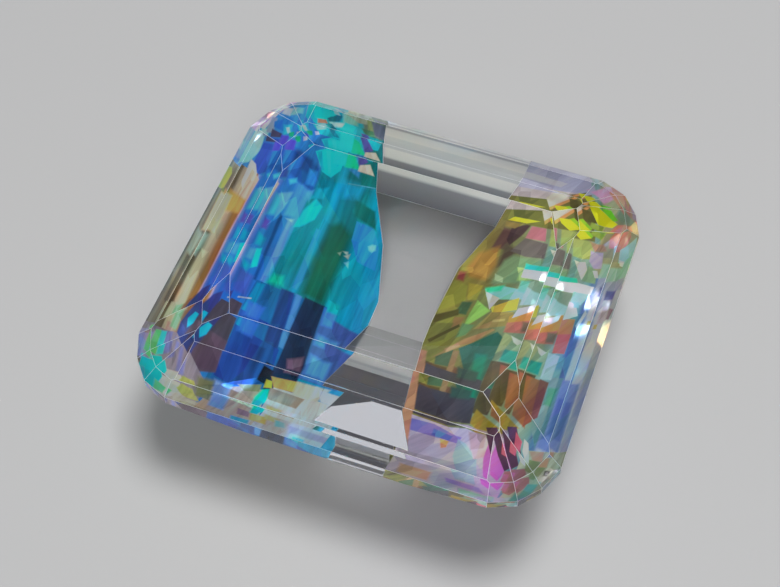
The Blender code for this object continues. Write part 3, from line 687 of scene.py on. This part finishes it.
def stone_materials():
    """The stone's materials, in the order of their slots."""
    clear = principled(
        "clear_quartz", Base_Color=(1, 1, 1, 1), Roughness=0.0, IOR=QUARTZ_IOR, Transmission_Weight=1.0
    )
    blue = coat(
        "blue_coat_and_painted_light", BLUE_STOPS, BLUE_PATCHES, gain=1.75, cell_turn=-8.0, cell_contrast=0.2,
        streak_turn=0.0, streak_contrast=0.4, hue_spread=0.012,
    )
    gold = coat(
        "gold_coat_and_painted_light", GOLD_STOPS, GOLD_PATCHES, gain=1.5, cell_turn=25.0, cell_contrast=0.25,
        streak_turn=40.0, streak_contrast=0.18, hue_spread=0.02,
    )
    pale = painted_reflection_coat()
    edge = principled(
        "worn_edge", Base_Color=(0.95, 0.97, 1.0, 1), Roughness=0.35, IOR=QUARTZ_IOR,
        Transmission_Weight=0.82,
    )
    return clear, blue, gold, edge, pale


# --- The stone -----------------------------------------------------------------------------------
def facets_of(node):
    """The solid's mesh with each flat facet as one face again."""
    bm = bmesh.new()
    bm.from_mesh(node.data)
    bmesh.ops.remove_doubles(bm, verts=bm.verts, dist=WELD)
    bmesh.ops.dissolve_limit(
        bm, angle_limit=SAME_PLANE, use_dissolve_boundaries=False, verts=bm.verts, edges=bm.edges
    )
    bm.normal_update()
    return bm


def is_step(face, steps):
    """Whether a facet is one of these steps of the pavilion's long sides."""
    low, high = steps
    normal = face.normal
    return low <= normal.y < high and normal.z < DOWNWARDS and abs(normal.x) < LEVEL


def plan_point(x, y):
    return Vector((x * MM, y * MM, 0.0))


def spread_coats_and_painted_reflection(bm):
    """The coats reach past their shoulders onto the front steps, where they carry painted reflection: cut
    those along the borders.

    Returns the slot of each facet that the coats reach.
    """
    borders = []
    for slot, steps, first, second in COAT_AND_PAINTED_REFLECTION_BORDERS:
        first, second = plan_point(*first), plan_point(*second)
        across = (first - second).cross(UP).normalized()
        borders.append((slot, steps, first, across))
        faces = [face for face in bm.faces if is_step(face, steps)]
        edges = list({edge for face in faces for edge in face.edges})
        corners = list({corner for face in faces for corner in face.verts})
        geom = faces + edges + corners
        bmesh.ops.bisect_plane(bm, geom=geom, dist=WELD, plane_co=first, plane_no=across)
        bm.normal_update()
    return {
        face: slot
        for slot, steps, first, across in borders
        for face in bm.faces
        if is_step(face, steps) and (face.calc_center_median() - first).dot(across) < 0
    }


def slot_of(face, spread):
    """Slot of a facet: the coats cover the pavilion's facets that lean towards an end."""
    normal = face.normal
    if face in spread:
        return spread[face]
    # the back's steepest steps carry the painted reflection bands instead of staying clear
    if is_step(face, BACK_STEEP):
        return PAINTED_REFLECTION
    if not (LEVEL - 1 < normal.z < -LEVEL and abs(normal.x) > LEVEL):
        return CLEAR
    return BLUE if normal.x < 0 else GOLD


def wear_edges(bm):
    """A narrow frosted line along the edges of the crown and girdle, and where materials meet."""
    worn = [
        edge for edge in bm.edges
        if any(face.normal.z > -LEVEL for face in edge.link_faces)
        or len({face.material_index for face in edge.link_faces}) > 1
    ]
    bmesh.ops.bevel(
        bm, geom=worn, offset=EDGE_WIDTH, offset_type="OFFSET", segments=1, profile=0.5,
        affect="EDGES", clamp_overlap=True, material=EDGE,
    )


def make_stone():
    bm = facets_of(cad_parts["stone"])
    spread = spread_coats_and_painted_reflection(bm)
    for face in bm.faces:
        face.material_index = slot_of(face, spread)
    wear_edges(bm)
    mesh = bpy.data.meshes.new("quartz")
    bm.to_mesh(mesh)
    bm.free()
    for material in stone_materials():
        mesh.materials.append(material)
    stone = bpy.data.objects.new("quartz", mesh)
    bpy.context.scene.collection.objects.link(stone)
    return stone


stone = make_stone()
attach(stone, "root")
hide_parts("stone")


# --- Floor, light and camera ---------------------------------------------------------------------
FLOOR_SIZE = 4.0
FLOOR_GAP = 0.03 * MM               # keeps the culet and the floor from lying in one plane
FLOOR_GREY = (0.33, 0.33, 0.33, 1)
WORLD_COLOUR = (0.88, 0.88, 1.0, 1)
WORLD_STRENGTH = 0.09

# The camera: fitted to the stone's edges in the photo, for a focal length that is only assumed.
PHOTO_WIDTH = 780.0                 # px
FOCAL_LENGTH = 1500.0               # px
SENSOR_WIDTH = 36.0                 # mm
CAMERA_AZIMUTH = 20.2               # degrees to the right of the stone's front
CAMERA_ELEVATION = 55.96
CAMERA_ROLL = -0.5
CAMERA_DISTANCE = 97.5 * MM         # from the middle of the stone at the girdle
AIM = Vector((0, -0.78 * MM, GIRDLE_HEIGHT))
NEAREST_SEEN = 1.0 * MM


def make_floor():
    bpy.ops.mesh.primitive_plane_add(size=FLOOR_SIZE, location=(0, 0, -FLOOR_GAP))
    floor = bpy.context.object
    floor.name = "floor"
    floor.data.materials.append(principled("pale_floor", Base_Color=FLOOR_GREY, Roughness=0.8))


def area(name, azimuth, elevation, distance, size, radiance, colour=(1, 1, 1)):
    """A soft box aimed at the origin: azimuth in degrees from the back, clockwise from above."""
    light = bpy.data.lights.new(name, "AREA")
    light.shape = "RECTANGLE"
    light.size, light.size_y = size
    light.energy = radiance * math.pi * size[0] * size[1]
    light.color = colour
    lamp = bpy.data.objects.new(name, light)
    a, e = math.radians(azimuth), math.radians(elevation)
    place = Vector((math.sin(a) * math.cos(e), math.cos(a) * math.cos(e), math.sin(e))) * distance
    lamp.location = place
    lamp.rotation_euler = place.to_track_quat("Z", "Y").to_euler()
    bpy.context.scene.collection.objects.link(lamp)


def make_light():
    area("zenith", azimuth=60, elevation=82, distance=0.5, size=(0.17, 0.17), radiance=30.0)
    area(
        "card", azimuth=-20, elevation=66.2, distance=0.5, size=(0.25, 0.115), radiance=0.52,
        colour=(0.92, 0.94, 1.0),
    )
    area("left", azimuth=-99, elevation=4, distance=0.6, size=(0.35, 0.06), radiance=14.0)
    area("front", azimuth=163, elevation=50, distance=0.6, size=(0.3, 0.2), radiance=10.0)
    world = bpy.data.worlds.new("studio")
    bpy.context.scene.world = world
    world.use_nodes = True
    world.node_tree.nodes["Background"].inputs["Color"].default_value = WORLD_COLOUR
    world.node_tree.nodes["Background"].inputs["Strength"].default_value = WORLD_STRENGTH


def make_camera():
    azimuth = math.radians(CAMERA_AZIMUTH)
    elevation = math.radians(CAMERA_ELEVATION)
    roll = math.radians(CAMERA_ROLL)
    place = Vector((0, 0, GIRDLE_HEIGHT)) + CAMERA_DISTANCE * Vector((
        math.sin(azimuth) * math.cos(elevation),
        -math.cos(azimuth) * math.cos(elevation),
        math.sin(elevation),
    ))
    forward = (AIM - place).normalized()
    right = forward.cross(UP).normalized()
    up = right.cross(forward)
    right, up = (
        math.cos(roll) * right + math.sin(roll) * up,
        -math.sin(roll) * right + math.cos(roll) * up,
    )
    data = bpy.data.cameras.new("camera")
    data.sensor_width = SENSOR_WIDTH
    data.lens = SENSOR_WIDTH * FOCAL_LENGTH / PHOTO_WIDTH
    data.clip_start = NEAREST_SEEN
    camera = bpy.data.objects.new("camera", data)
    turn = Matrix((right, up, -forward)).transposed().to_4x4()
    camera.matrix_world = Matrix.Translation(place) @ turn
    bpy.context.scene.collection.objects.link(camera)
    bpy.context.scene.camera = camera


make_floor()
make_light()
make_camera()
bpy.context.scene.view_settings.view_transform = "Standard"
